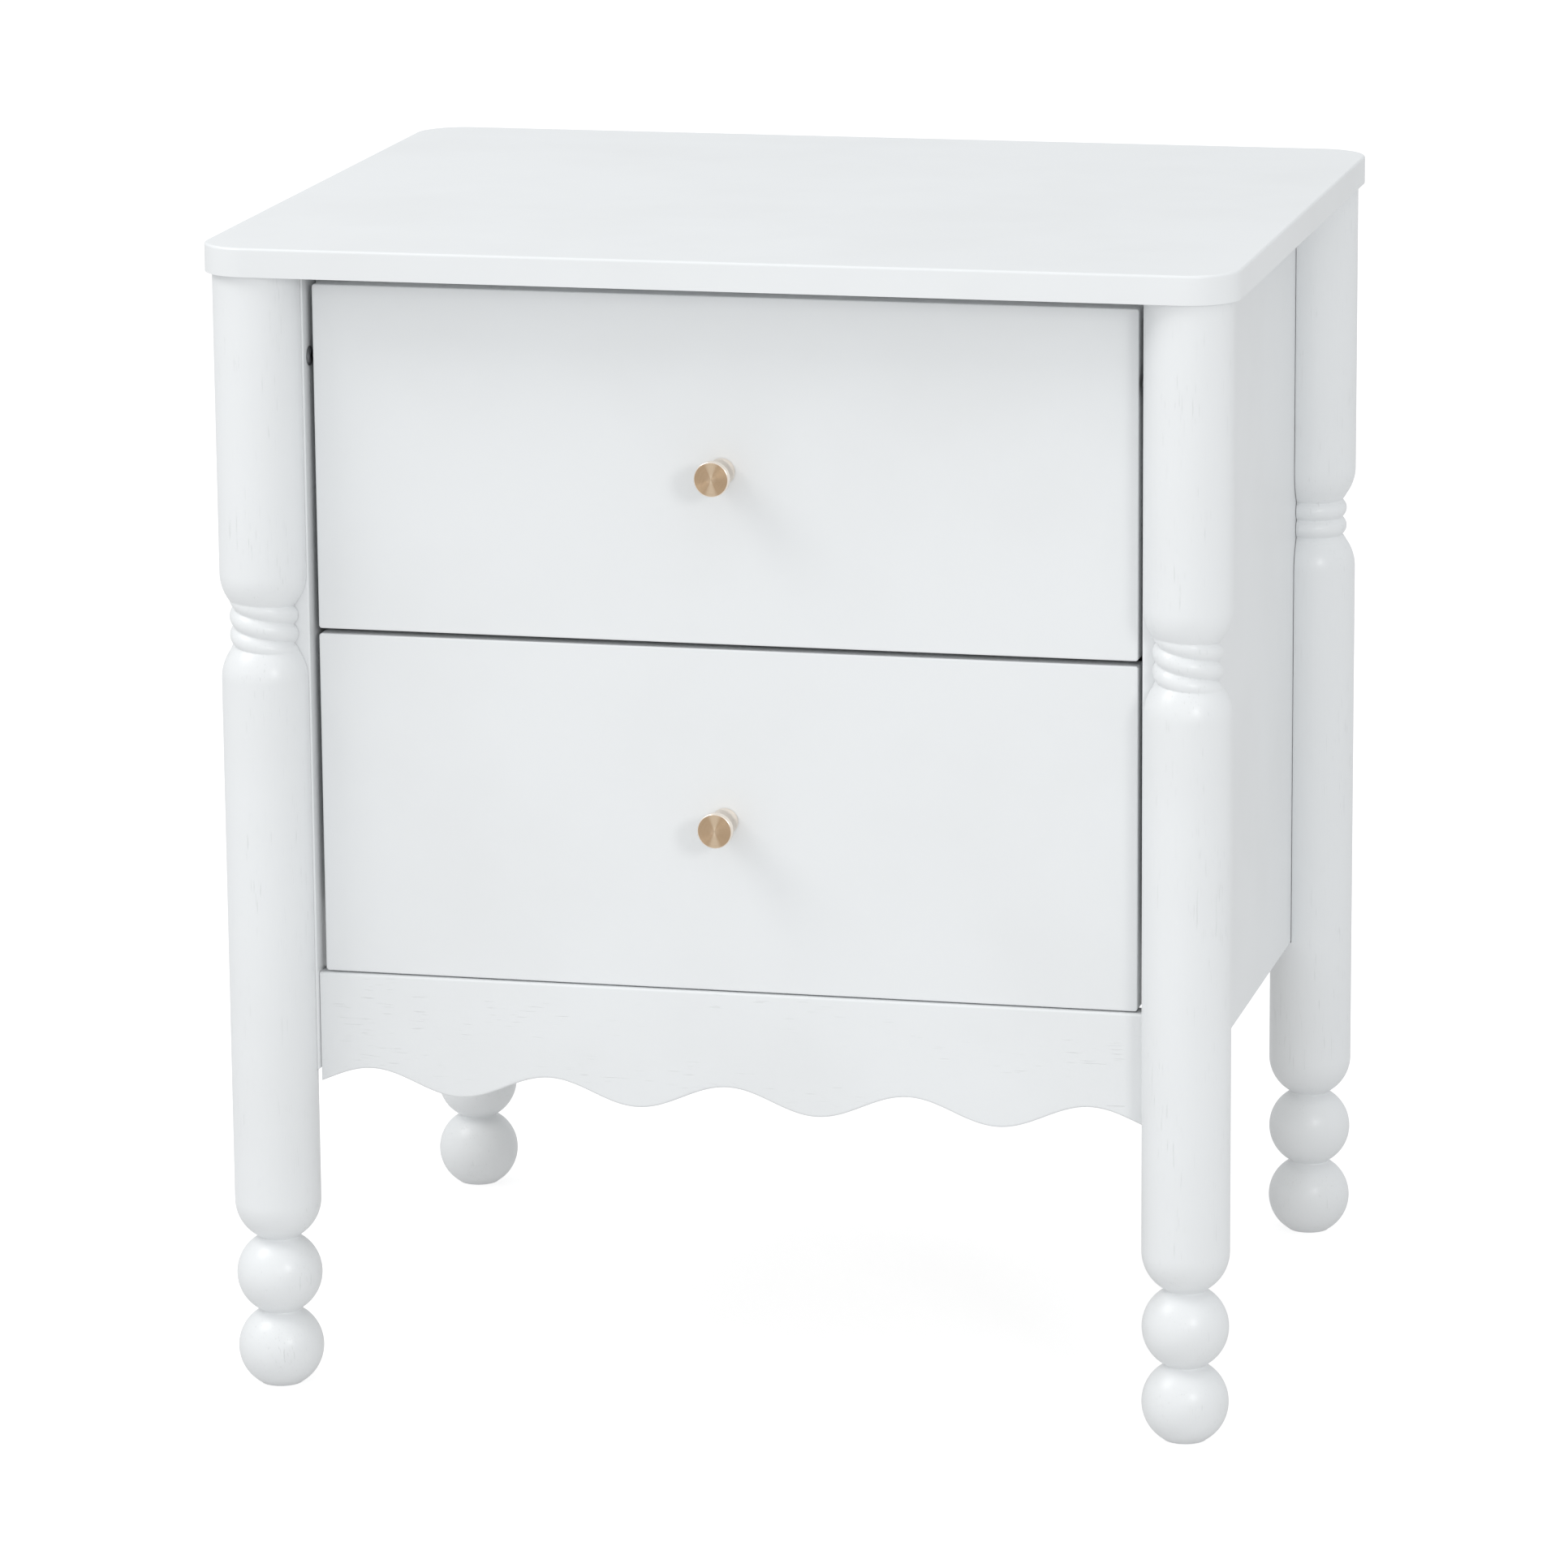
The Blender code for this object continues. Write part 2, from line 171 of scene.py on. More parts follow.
def paintedWood(name, grainAxis=None):
    # Satin paint. With a grain axis, the open pores of the wood show through as short fine streaks.
    material, wire, where = newMaterial(name)
    peel = wire.noise(where, paint["peelCells"], 1.0)
    drift = wire.noise(where, paint["driftCells"], 3.0)
    shade = wire.tint(drift.fade(*paint["thinFade"]), paint["shade"], paint["thinShade"])
    roughness = paint["roughness"] + paint["roughnessSwing"] * 2.0 * (drift - 0.5)
    height = peel * paint["peelHeight"]
    if grainAxis is not None:
        cells, patch = [paint["poreWidthCells"]] * 3, [paint["patchWidthCells"]] * 3
        cells[grainAxis], patch[grainAxis] = paint["poreLengthCells"], paint["patchLengthCells"]
        patches = wire.noise(where, patch, 2.0)
        streaks = wire.noise(where, cells, 1.0, 0.4)
        waves = wire.noise(where, [count * paint["waveCells"] for count in cells], 2.0)
        pores = streaks.fade(*paint["poreFade"]) * patches.fade(*paint["patchFade"])
        shade = wire.tint(pores * paint["poreTint"], shade, paint["poreShade"])
        height = height + waves * paint["waveHeight"] - pores
        roughness = roughness + pores * paint["poreRoughness"]
    finishMaterial(wire, {
        "Base Color": shade, "Roughness": roughness, "Normal": wire.bump(height, paint["poreDepth"]),
        "Coat Weight": paint["coat"], "Coat Roughness": paint["coatRoughness"],
    })
    return material


board = {
    "shade": (0.79, 0.78, 0.75, 1),
    "lineShade": (0.72, 0.70, 0.66, 1),
    "roughness": 0.5,
    "lineCells": (900, 30, 900),
    "figureCells": (60, 4, 60),
    "lineFade": (0.35, 0.75), "figureFade": (0.3, 0.7),
    "lineRoughness": 0.15,
    "depth": 0.00004,
}


def lacqueredBoard():
    # Drawer boxes: pale board with fine lines along its length.
    material, wire, where = newMaterial("drawerBoard")
    lines = wire.noise(where, board["lineCells"], 3.0, 0.6)
    figure = wire.noise(where, board["figureCells"], 3.0)
    mix = lines.fade(*board["lineFade"]) * 0.5 + figure.fade(*board["figureFade"]) * 0.5
    finishMaterial(wire, {
        "Base Color": wire.tint(mix, board["shade"], board["lineShade"]),
        "Roughness": board["roughness"] + lines * board["lineRoughness"], "Normal": wire.bump(lines, board["depth"]),
    })
    return material


steel = {
    "shade": (0.60, 0.61, 0.63, 1),
    "cloudShade": (0.44, 0.45, 0.47, 1),
    "oiledShade": (0.10, 0.10, 0.11, 1),
    "roughness": 0.30,
    "rollCells": (2600, 40, 2600),
    "cloudCells": (240, 240, 240),
    "cloudFade": (0.35, 0.7),
    "cloudRoughness": 0.16, "lineRoughness": 0.05,
    "boltOil": 0.35,
    "depth": 0.00001,
}


def platedSteel(name, oil=0.0):
    # Zinc plate: a cloudy spangle over fine rolling lines along Y. The bolts are darkened with oil.
    material, wire, where = newMaterial(name)
    lines = wire.noise(where, steel["rollCells"], 2.0)
    cloud = wire.noise(where, steel["cloudCells"], 4.0, 0.65).fade(*steel["cloudFade"])
    shade = wire.tint(cloud, steel["shade"], steel["cloudShade"])
    if oil:
        shade = wire.tint(oil, shade, steel["oiledShade"])
    roughness = steel["roughness"] + steel["cloudRoughness"] * cloud + steel["lineRoughness"] * lines
    finishMaterial(wire, {
        "Base Color": shade, "Metallic": 1.0, "Roughness": roughness,
        "Normal": wire.bump(lines, steel["depth"]),
    })
    return material


brass = {
    # the turned face is painted darker than the side
    "faceShade": (0.520, 0.365, 0.228, 1),
    # painted glint: the fan of light and the centre streak are painted into the face's colour
    "glintShade": (0.900, 0.740, 0.560, 1),  # along the fan of light on the turned face
    # painted reflection: the side of the stem and head is painted pale, as if reflecting the bright drawer front
    "paintedReflectionShade": (0.950, 0.860, 0.760, 1),
    "roughness": 0.22,
    "faceStart": 0.0321,  # how far along the profile the turned face begins
    "faceWidth": 0.0088, "faceBlend": 0.0002,
    "fanTurn": math.pi, "fanFade": (0.55, 1.0), "fanShine": 0.45,
    "centreStart": 0.6, "centreShine": 0.25,  # the start is a share of the face's width
    "lineFade": (0.3, 0.7), "lineShine": 0.12,
    "lineRoughness": 0.10, "cloudRoughness": 0.04,
    "lineCells": (6, 4200, 1), "cloudCells": (5, 300, 1),  # round the knob, and along its profile
    "depth": 0.000008,
}


def brushedBrass():
    # Champagne brass. The brushing lines follow the lathe, so they read the knob's own UV map.
    # The fan of light and the bright centre streak on the face are painted glints in the base colour.
    # The side is painted pale as a painted reflection, and the face is painted darker.
    material, wire, where = newMaterial("brushedBrass", "UV")
    lines = wire.noise(where, brass["lineCells"], 2.0, 0.6)
    cloud = wire.noise(where, brass["cloudCells"], 2.0)
    spot = wire.node("ShaderNodeSeparateXYZ", None, {0: where})
    along = spot.also(1)
    turn = spot * (2 * math.tau) + brass["fanTurn"]
    fan = turn.maths("COSINE", turn)
    start, width, blend = brass["faceStart"], brass["faceWidth"], brass["faceBlend"]
    face = along.fade(start - blend, start + blend)
    centre = (along - start).fade(brass["centreStart"] * width, width)
    # painted glints: a fan of light by angle round the knob, and a bright streak towards the centre
    glint = fan.fade(*brass["fanFade"]) * brass["fanShine"] + centre * brass["centreShine"]
    # the brushing lines are real, and they are also painted lighter, as a painted sheen
    shine = glint + lines.fade(*brass["lineFade"]) * brass["lineShine"]
    turnedFace = wire.tint(shine, brass["faceShade"], brass["glintShade"])
    roughness = brass["roughness"] + brass["lineRoughness"] * (lines - 0.5) + brass["cloudRoughness"] * cloud
    finishMaterial(wire, {
        # pale painted reflection on the side, and the darker face with its painted glints
        "Base Color": wire.tint(face, brass["paintedReflectionShade"], turnedFace),
        "Metallic": 1.0, "Roughness": roughness,
        "Normal": wire.bump(lines, brass["depth"]),
    })
    return material


smoothPaint = paintedWood("satinPaint")
legPaint = paintedWood("satinPaintUprightGrain", 2)
apronPaint = paintedWood("satinPaintLevelGrain", 0)
boxBoard = lacqueredBoard()
runnerSteel = platedSteel("zincPlate")
boltSteel = platedSteel("oiledZincPlate", steel["boltOil"])
knobBrass = brushedBrass()
print("materials: paint, board, steel and brass")


def keep(name, mesh, material, slotName, *stoodFor):
    # A finished piece: it takes over its CAD nodes and rides on their body.
    piece = bpy.data.objects.new(name, mesh)
    scene.collection.objects.link(piece)
    mesh.materials.clear()
    mesh.materials.append(material)
    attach(piece, nodes[stoodFor[0]]["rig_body"])
    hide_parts(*stoodFor)
    return piece


def smoothShaded(work, sharpAngle=40):
    # Smooth faces, with the edges that turn by more than sharpAngle left sharp.
    for face in work.faces:
        face.smooth = True
    for edge in work.edges:
        edge.smooth = len(edge.link_faces) == 2 and edge.calc_face_angle(0) < math.radians(sharpAngle)


def workOn(mesh):
    work = bmesh.new()
    work.from_mesh(mesh)
    return work


def toMesh(name, work, sharpAngle=40):
    smoothShaded(work, sharpAngle)
    mesh = bpy.data.meshes.new(name)
    work.to_mesh(mesh)
    work.free()
    return mesh


def evenNormals(mesh):
    # Leaves the flat faces flat beside their rounded edges.
    holder = bpy.data.objects.new("normals", mesh)
    scene.collection.objects.link(holder)
    holder.modifiers.new("even", "WEIGHTED_NORMAL").keep_sharp = True
    made = bpy.data.meshes.new_from_object(holder.evaluated_get(bpy.context.evaluated_depsgraph_get()))
    made.name = mesh.name
    bpy.data.objects.remove(holder)
    return made


def geometryTree(name, inputs):
    # inputs: socket name to socket kind. Returns the tree, its wires by name, and a call that ends it.
    tree = bpy.data.node_groups.new(name, "GeometryNodeTree")
    tree.interface.new_socket("Geometry", in_out="OUTPUT", socket_type="NodeSocketGeometry")
    for label, kind in inputs.items():
        tree.interface.new_socket(label, in_out="INPUT", socket_type="NodeSocket" + kind)
    first = Wire(tree).node("NodeGroupInput")
    size = {label: first.also(label) for label in inputs}

    def end(geometry):
        real = geometry.node("GeometryNodeRealizeInstances", None, {0: geometry})
        painted = real.node("GeometryNodeSetMaterial", None, {0: real, "Material": size["Finish"]})
        painted.node("NodeGroupOutput", None, {0: painted})

    return tree, size, end


def grow(tree, values, start=None):
    # Runs a tree once and returns its result as a plain mesh.
    holder = bpy.data.objects.new(tree.name, start or bpy.data.meshes.new(tree.name))
    scene.collection.objects.link(holder)
    modifier = holder.modifiers.new(tree.name, "NODES")
    modifier.node_group = tree
    for item in tree.interface.items_tree:
        if item.in_out == "INPUT" and item.name in values:
            modifier[item.identifier] = values[item.name]
    mesh = bpy.data.meshes.new_from_object(holder.evaluated_get(bpy.context.evaluated_depsgraph_get()))
    holder.modifiers.clear()
    bpy.data.objects.remove(holder)
    return mesh


leg = {
    "Leg Radius": 0.02275, "Ball Radius": 0.0225, "Neck Radius": 0.011, "Foot Radius": 0.0107,
    "Neck Land": 0.001, "Ring Height": 0.4092, "Bead Radius": 0.018, "Bead Pitch": 0.0098,
    "Groove Radius": 0.015, "Shoulder Length": 0.0182, "Steps Round": 96,
    "Twist": 2.0, "Twist Start": 193.3,  # bead pitches that the beads fall in one turn, and the angle they fall from
    "Neck Fillet": 0.0016, "Groove Fillet": 0.0005,  # paint lying in the turned grooves
}
legRings = {"balls": 202, "below": 9, "beads": 161, "above": 7}  # rings along each stretch of the leg
legFinish = {"rebateGap": 0.0003, "sharpAngle": 38}
weld = 0.00001  # points nearer than this are one


def turnedLegTree():
    # The radius at each height: two balls and a domed end low down, a pair of twisted beads between
    # two shoulders higher up, and the plain leg everywhere else.
    kinds = {label: "Float" for label in leg}
    kinds |= {"Steps Round": "Int", "Height": "Float", "Place": "Vector", "Finish": "Material"}
    tree, size, end = geometryTree("turnedLeg", kinds)
    full, ball, neck = size["Leg Radius"], size["Ball Radius"], size["Neck Radius"]
    neckRise = (ball * ball - neck * neck).root()
    footHeight = (ball * ball - size["Foot Radius"] * size["Foot Radius"]).root()
    ballHeight = footHeight + neckRise * 2.0 + size["Neck Land"]
    domeHeight = ballHeight + neckRise + size["Neck Land"] + (full * full - neck * neck).root()
    reach = size["Bead Pitch"] + size["Shoulder Length"]
    ringLow, ringHigh = size["Ring Height"] - reach, size["Ring Height"] + reach

    wire = Wire(tree)
    stretches = []
    levels = (0.0, domeHeight, ringLow, ringHigh, size["Height"])
    for low, high, count in zip(levels, levels[1:], legRings.values()):
        start = wire.node("ShaderNodeCombineXYZ", None, {2: low})
        finish = wire.node("ShaderNodeCombineXYZ", None, {2: high})
        stretches.append(wire.node("GeometryNodeMeshLine", {"mode": "END_POINTS"}, {0: count, 2: start, 3: finish}))
    line = wire.node("GeometryNodeJoinGeometry", None, {0: stretches})
    line = wire.node("GeometryNodeMergeByDistance", None, {0: line, 2: weld})
    axis = wire.node("GeometryNodeMeshToCurve", None, {0: line})

    circle = wire.node("GeometryNodeCurvePrimitiveCircle", None, {0: size["Steps Round"], 4: 1.0})
    tube = wire.node("GeometryNodeCurveToMesh", None, {0: axis, 1: circle, "Fill Caps": True})
    spot = wire.node("ShaderNodeSeparateXYZ", None, {0: wire.node("GeometryNodeInputPosition")})
    height = spot.also(2)
    fromFoot, fromBall = height - footHeight, height - ballHeight
    fromDome = (height - domeHeight).atMost(0.0)
    low = (ball * ball - fromFoot * fromFoot).root()
    low = low.atLeast((ball * ball - fromBall * fromBall).root())
    low = low.atLeast((full * full - fromDome * fromDome).root()).atLeast(neck, size["Neck Fillet"])

    fromRing = height - size["Ring Height"]
    away = (fromRing * fromRing + size["Groove Fillet"] * size["Groove Fillet"]).root()
    half, drop = size["Bead Pitch"] / 2.0, size["Bead Radius"] - size["Groove Radius"]
    beadRound = (half * half + drop * drop) / (drop * 2.0)
    turn = height.maths("ARCTAN2", spot.also(1), spot) / math.tau - size["Twist Start"] / 360
    fallen = fromRing + size["Bead Pitch"] * size["Twist"] * turn
    fallen = fallen.maths("WRAP", fallen, half, half * -1.0)
    fromCrest = (fallen * fallen + size["Groove Fillet"] * size["Groove Fillet"]).root() - half
    bead = size["Bead Radius"] - beadRound + (beadRound * beadRound - fromCrest * fromCrest).root()
    long, deep = size["Shoulder Length"], full - size["Groove Radius"]
    sweep = (long * long + deep * deep) / (deep * 2.0)
    fromEnd = (away - reach).atMost(0.0)
    shoulder = full - sweep + (sweep * sweep - fromEnd * fromEnd).root()
    radius = low.atMost(bead.atLeast(shoulder, size["Groove Fillet"]).atMost(full))

    place = wire.node("ShaderNodeCombineXYZ", None, {0: spot * radius, 1: spot.also(1) * radius, 2: height})
    turned = wire.node("GeometryNodeSetPosition", None, {0: tube, 2: place})
    end(wire.node("GeometryNodeTransform", None, {0: turned, 1: size["Place"]}))
    return tree


def boxWork(low, high):
    work = bmesh.new()
    bmesh.ops.create_cube(work, size=1)
    middle, span = (Vector(low) + Vector(high)) / 2, Vector(high) - Vector(low)
    for vertex in work.verts:
        vertex.co = middle + Vector(vertex.co[i] * span[i] for i in range(3))
    return work


def notched(mesh, low, high):
    # Cuts a box out of a mesh, as the leg's rebate for its side panel.
    body = bpy.data.objects.new("body", mesh)
    cutter = bpy.data.objects.new("cutter", toMesh("cutter", boxWork(low, high)))
    for item in (body, cutter):
        scene.collection.objects.link(item)
    modifier = body.modifiers.new("notch", "BOOLEAN")
    modifier.object, modifier.solver = cutter, "EXACT"
    made = bpy.data.meshes.new_from_object(body.evaluated_get(bpy.context.evaluated_depsgraph_get()))
    for item in (body, cutter):
        bpy.data.objects.remove(item)
    return made


def buildLegs():
    tree = turnedLegTree()
    for row in ("front", "rear"):
        for side in ("left", "right"):
            node = f"leg_{row}_{side}"
            low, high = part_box(node)
            middle = (low + high) / 2
            panelLow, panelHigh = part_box(f"side_panel_{side}")
            values = dict(leg, Height=high.z, Place=(middle.x, middle.y, 0.0), Finish=legPaint)
            values["Twist"] *= row == "front"  # the beads of the rear legs are level
            mesh = grow(tree, values)
            work = workOn(mesh)
            bmesh.ops.recalc_face_normals(work, faces=work.faces)
            work.to_mesh(mesh)
            work.free()
            gap, far = legFinish["rebateGap"], 2 * leg["Leg Radius"]
            left, back = middle.x < 0, middle.y > 0
            cutLow = [panelLow.x - gap, middle.y - far, panelLow.z - gap]
            cutHigh = [panelHigh.x + gap, middle.y + far, high.z + far]
            if left:
                cutHigh[0] = middle.x + far
            else:
                cutLow[0] = middle.x - far
            if back:
                cutHigh[1] = panelHigh.y + gap
            else:
                cutLow[1] = panelLow.y - gap
            mesh = toMesh("turnedLeg", workOn(notched(mesh, cutLow, cutHigh)), legFinish["sharpAngle"])
            keep(f"turnedLeg_{row}_{side}", mesh, legPaint, "white_paint", node)


def outline(width, height, corner, steps):
    # A rectangle about the origin with rounded corners, anticlockwise.
    points = []
    for turn, (across, up) in enumerate(((1, 1), (-1, 1), (-1, -1), (1, -1))):
        for step in range(steps + 1):
            angle = math.radians(90 * (turn + step / steps))
            centre = Vector((across * (width / 2 - corner), up * (height / 2 - corner)))
            points.append(centre + corner * Vector((math.cos(angle), math.sin(angle))))
    return points


def upright(x, y, z, angle=90):
    # The place of a shape made along Z that is turned to point towards -Y, or to +Y with -90.
    return Matrix.Translation((x, y, z)) @ Matrix.Rotation(math.radians(angle), 4, "X")


def slab(name, points, thickness, lowRound, highRound, steps, matrix):
    # An outline raised along Z, its two rims rounded, then placed by the matrix.
    work = bmesh.new()
    bottom = [work.verts.new((*point, 0)) for point in points]
    top = [work.verts.new((*point, thickness)) for point in points]
    work.faces.new(reversed(bottom))
    work.faces.new(top)
    for i, here in enumerate(bottom):
        j = (i + 1) % len(bottom)
        work.faces.new((here, bottom[j], top[j], top[i]))
    for level, rounding in ((0, lowRound), (thickness, highRound)):
        rim = [edge for edge in work.edges if all(abs(v.co.z - level) < 1e-7 for v in edge.verts)]
        if rounding:
            bmesh.ops.bevel(work, geom=rim, offset=rounding, segments=steps, profile=0.5, affect="EDGES")
    bmesh.ops.transform(work, matrix=matrix, verts=work.verts)
    bmesh.ops.recalc_face_normals(work, faces=work.faces)
    return evenNormals(toMesh(name, work))


top = {"corner": 0.02625, "cornerSteps": 14, "edgeRound": 0.0014, "edgeSteps": 4}


def buildTop():
    low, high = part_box("top_board")
    points = outline(high.x - low.x, high.y - low.y, top["corner"], top["cornerSteps"])
    place = Matrix.Translation(((low.x + high.x) / 2, (low.y + high.y) / 2, low.z))
    rounding, steps = top["edgeRound"], top["edgeSteps"]
    mesh = slab("tabletop", points, high.z - low.z, rounding, rounding, steps, place)
    keep("tabletop", mesh, smoothPaint, "white_paint", "top_board")


front = {"corner": 0.0016, "cornerSteps": 5, "edgeRound": 0.0008, "rearRound": 0.0005, "edgeSteps": 4}


def buildFronts():
    # Each drawer front stands upright, its rounded face towards -Y.
    for drawer in ("upper", "lower"):
        low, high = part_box(f"{drawer}_front")
        points = outline(high.x - low.x, high.z - low.z, front["corner"], front["cornerSteps"])
        place = upright((low.x + high.x) / 2, high.y, (low.z + high.z) / 2)
        rounds = front["rearRound"], front["edgeRound"], front["edgeSteps"]
        mesh = slab("front", points, high.y - low.y, *rounds, place)
        keep(f"{drawer}DrawerFront", mesh, smoothPaint, "white_paint", f"{drawer}_front")


apron = {
    "Wave Height": 0.1656, "Wave Depth": 0.0066, "Wave Pitch": 0.09575, "Columns": 241, "Rows": 7,
    "edgeRound": 0.0012, "edgeSteps": 3, "sharpAngle": 50,
}


def scallopTree():
    # A board whose lower edge is a cosine wave about Wave Height, with an arch in the middle.
    kinds = {"Half Width": "Float", "Top": "Float", "Front": "Float", "Thickness": "Float", "Wave Height": "Float"}
    kinds |= {"Wave Depth": "Float", "Wave Pitch": "Float", "Columns": "Int", "Rows": "Int", "Finish": "Material"}
    tree, size, end = geometryTree("scallopedApron", kinds)
    wire = Wire(tree)
    grid = {0: size["Half Width"] * 2.0, 1: 1.0, 2: size["Columns"], 3: size["Rows"]}
    sheet = wire.node("GeometryNodeMeshGrid", None, grid)
    parts = wire.node("ShaderNodeSeparateXYZ", None, {0: wire.node("GeometryNodeInputPosition")})
    across, share = parts, parts.also(1) + 0.5
    wave = across.maths("COSINE", across * math.tau / size["Wave Pitch"])
    edge = size["Wave Height"] + size["Wave Depth"] * wave
    height = edge + share * (size["Top"] - edge)
    rear = size["Front"] + size["Thickness"]
    place = wire.node("ShaderNodeCombineXYZ", None, {0: across, 1: rear, 2: height})
    sheet = wire.node("GeometryNodeSetPosition", None, {0: sheet, 2: place})
    forward = wire.node("ShaderNodeCombineXYZ", None, {1: -1.0})
    pull = {0: sheet, 2: forward, 3: size["Thickness"], 4: False}
    thick = wire.node("GeometryNodeExtrudeMesh", {"mode": "FACES"}, pull)
    rear = wire.node("GeometryNodeFlipFaces", None, {0: sheet})
    shell = wire.node("GeometryNodeJoinGeometry", None, {0: [thick, rear]})
    end(wire.node("GeometryNodeMergeByDistance", None, {0: shell, 2: weld}))
    return tree


def eased(work, rounding, steps, chosen=lambda edge: True, turn=50):
    # Rounds the edges that turn by more than turn degrees.
    limit = math.radians(turn)
    inner = [edge for edge in work.edges if len(edge.link_faces) == 2]
    sharp = [edge for edge in inner if edge.calc_face_angle(0) > limit and chosen(edge)]
    bmesh.ops.bevel(
        work, geom=sharp, offset=rounding, segments=steps, profile=0.5, affect="EDGES", clamp_overlap=True)


def buildApron():
    low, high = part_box("apron")
    values = {key: value for key, value in apron.items() if key[0].isupper()}
    values |= {"Half Width": high.x, "Top": high.z, "Front": low.y, "Thickness": high.y - low.y}
    work = workOn(grow(scallopTree(), values | {"Finish": apronPaint}))
    bmesh.ops.recalc_face_normals(work, faces=work.faces)

    def runsAcross(edge):
        return abs(edge.verts[0].co.x - edge.verts[1].co.x) > weld

    eased(work, apron["edgeRound"], apron["edgeSteps"], runsAcross)
    mesh = evenNormals(toMesh("scallopedApron", work, apron["sharpAngle"]))
    keep("scallopedApron", mesh, apronPaint, "white_paint", "apron")


def copyOf(node, rounding, steps=2):
    # A welded copy of a CAD node with its flat faces whole and its edges eased.
    work = workOn(nodes[node].data)
    bmesh.ops.remove_doubles(work, verts=work.verts, dist=1e-6)
    bmesh.ops.dissolve_limit(work, angle_limit=math.radians(1), verts=work.verts, edges=work.edges)
    eased(work, rounding, steps)
    return evenNormals(toMesh(node, work))


easing = {"panel": 0.0010, "back": 0.0004, "rail": 0.0010, "box": 0.0006, "bottom": 0.0003, "sheet": 0.00035}


def keepCopy(title, node, rounding, material, slotName, steps=2):
    keep(title, copyOf(node, rounding, steps), material, slotName, node)


def buildBoards():
    white = smoothPaint, "white_paint"
    for side in ("left", "right"):
        keepCopy(f"sidePanel_{side}", f"side_panel_{side}", easing["panel"], *white, 3)
    keepCopy("backPanel", "back_panel", easing["back"], *white)
    keepCopy("topRail", "top_front_rail", easing["rail"], *white)
    for drawer in ("upper", "lower"):
        for part, rounding in (("side_left", "box"), ("side_right", "box"), ("back", "box"), ("bottom", "bottom")):
            title = f"{drawer}Drawer" + "".join(word.capitalize() for word in part.split("_"))
            keepCopy(title, f"{drawer}_{part}", easing[rounding], boxBoard, "drawer_board")


def turned(name, profile, steps, matrix, sharpAngle=40):
    # Turns a profile about Z, pole to pole. Each point is (radius, height, shape), and shape is a call
    # from angle to a share of the radius. The UV map runs round the piece and along the profile.
    work = bmesh.new()
    layer = work.loops.layers.uv.new("lathe")
    rings, along, lengths = [], 0.0, []
    for index, (radius, height, *shape) in enumerate(profile):
        if index:
            along += math.hypot(radius - profile[index - 1][0], height - profile[index - 1][1])
        lengths.append(along)
        count = steps if radius else 1
        angles = [math.tau * step / steps for step in range(count)]
        sizes = [radius * (shape[0](angle) if shape else 1) for angle in angles]
        rings.append([work.verts.new((r * math.cos(a), r * math.sin(a), height)) for r, a in zip(sizes, angles)])
    for level, (near, far) in enumerate(zip(rings, rings[1:])):
        for step in range(steps):
            following = step + 1
            corners = [(near[step % len(near)], step, level)]
            if len(near) > 1:
                corners.append((near[following % steps], following, level))
            if len(far) > 1:
                corners.append((far[following % steps], following, level + 1))
            corners.append((far[step % len(far)], step, level + 1))
            face = work.faces.new([corner[0] for corner in corners])
            for loop, (_, turn, row) in zip(face.loops, corners):
                loop[layer].uv = (turn / steps, lengths[row])
    bmesh.ops.transform(work, matrix=matrix, verts=work.verts)
    bmesh.ops.recalc_face_normals(work, faces=work.faces)
    return toMesh(name, work, sharpAngle)


knob = {
    "headRadius": 0.0091, "headLength": 0.0045, "stemRadius": 0.0070, "rimRound": 0.0005, "steps": 96,
    "undercut": 0.0004, "sharpAngle": 60,
    "faceRadius": 0.0085, "ringPitch": 0.00045, "ringDepth": 0.000022, "ringSteps": 6,  # the lathe's own fine rings
}


def quarter(radius, height, rounding, start, steps=4):
    # A quarter round about (radius, height), from start degrees.
    angles = [math.radians(start + 90 * step / steps) for step in range(steps + 1)]
    return [(radius + rounding * math.cos(a), height + rounding * math.sin(a)) for a in angles]


def buildKnobs():
    for drawer in ("upper", "lower"):
        low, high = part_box(f"{drawer}_knob")
        reach, wide, bend = high.y - low.y, knob["headRadius"], knob["rimRound"]
        neck = reach - knob["headLength"]
        stem, under = knob["stemRadius"], knob["undercut"]
        profile = [(0, 0), (stem, 0), (stem, neck - under), (stem + under, neck)]
        profile += quarter(wide - bend, neck + bend, bend, -90)
        profile += quarter(wide - bend, reach - bend, bend, 0)
        for ring in range(int(knob["faceRadius"] / knob["ringPitch"])):
            for step in range(knob["ringSteps"]):
                share = step / knob["ringSteps"]
                radius = knob["faceRadius"] - knob["ringPitch"] * (ring + share)
                profile.append((radius, reach - knob["ringDepth"] * (1 - math.cos(math.tau * share))))
        profile.append((0, reach))
        place = upright((low.x + high.x) / 2, high.y, (low.z + high.z) / 2)
        mesh = turned("knob", profile, knob["steps"], place, knob["sharpAngle"])
        keep(f"{drawer}Knob", mesh, knobBrass, "brushed_brass", f"{drawer}_knob")


def hexagon(angle):
    return math.cos(math.radians(30)) / math.cos((angle + math.tau / 12) % (math.tau / 6) - math.tau / 12)


def cross(angle):
    # The outline of a cross recess: four straight arms.
    across = min(abs(math.cos(angle)), abs(math.sin(angle)))
    return min(1, screw["armHalfWidth"] / max(across, 1e-6))


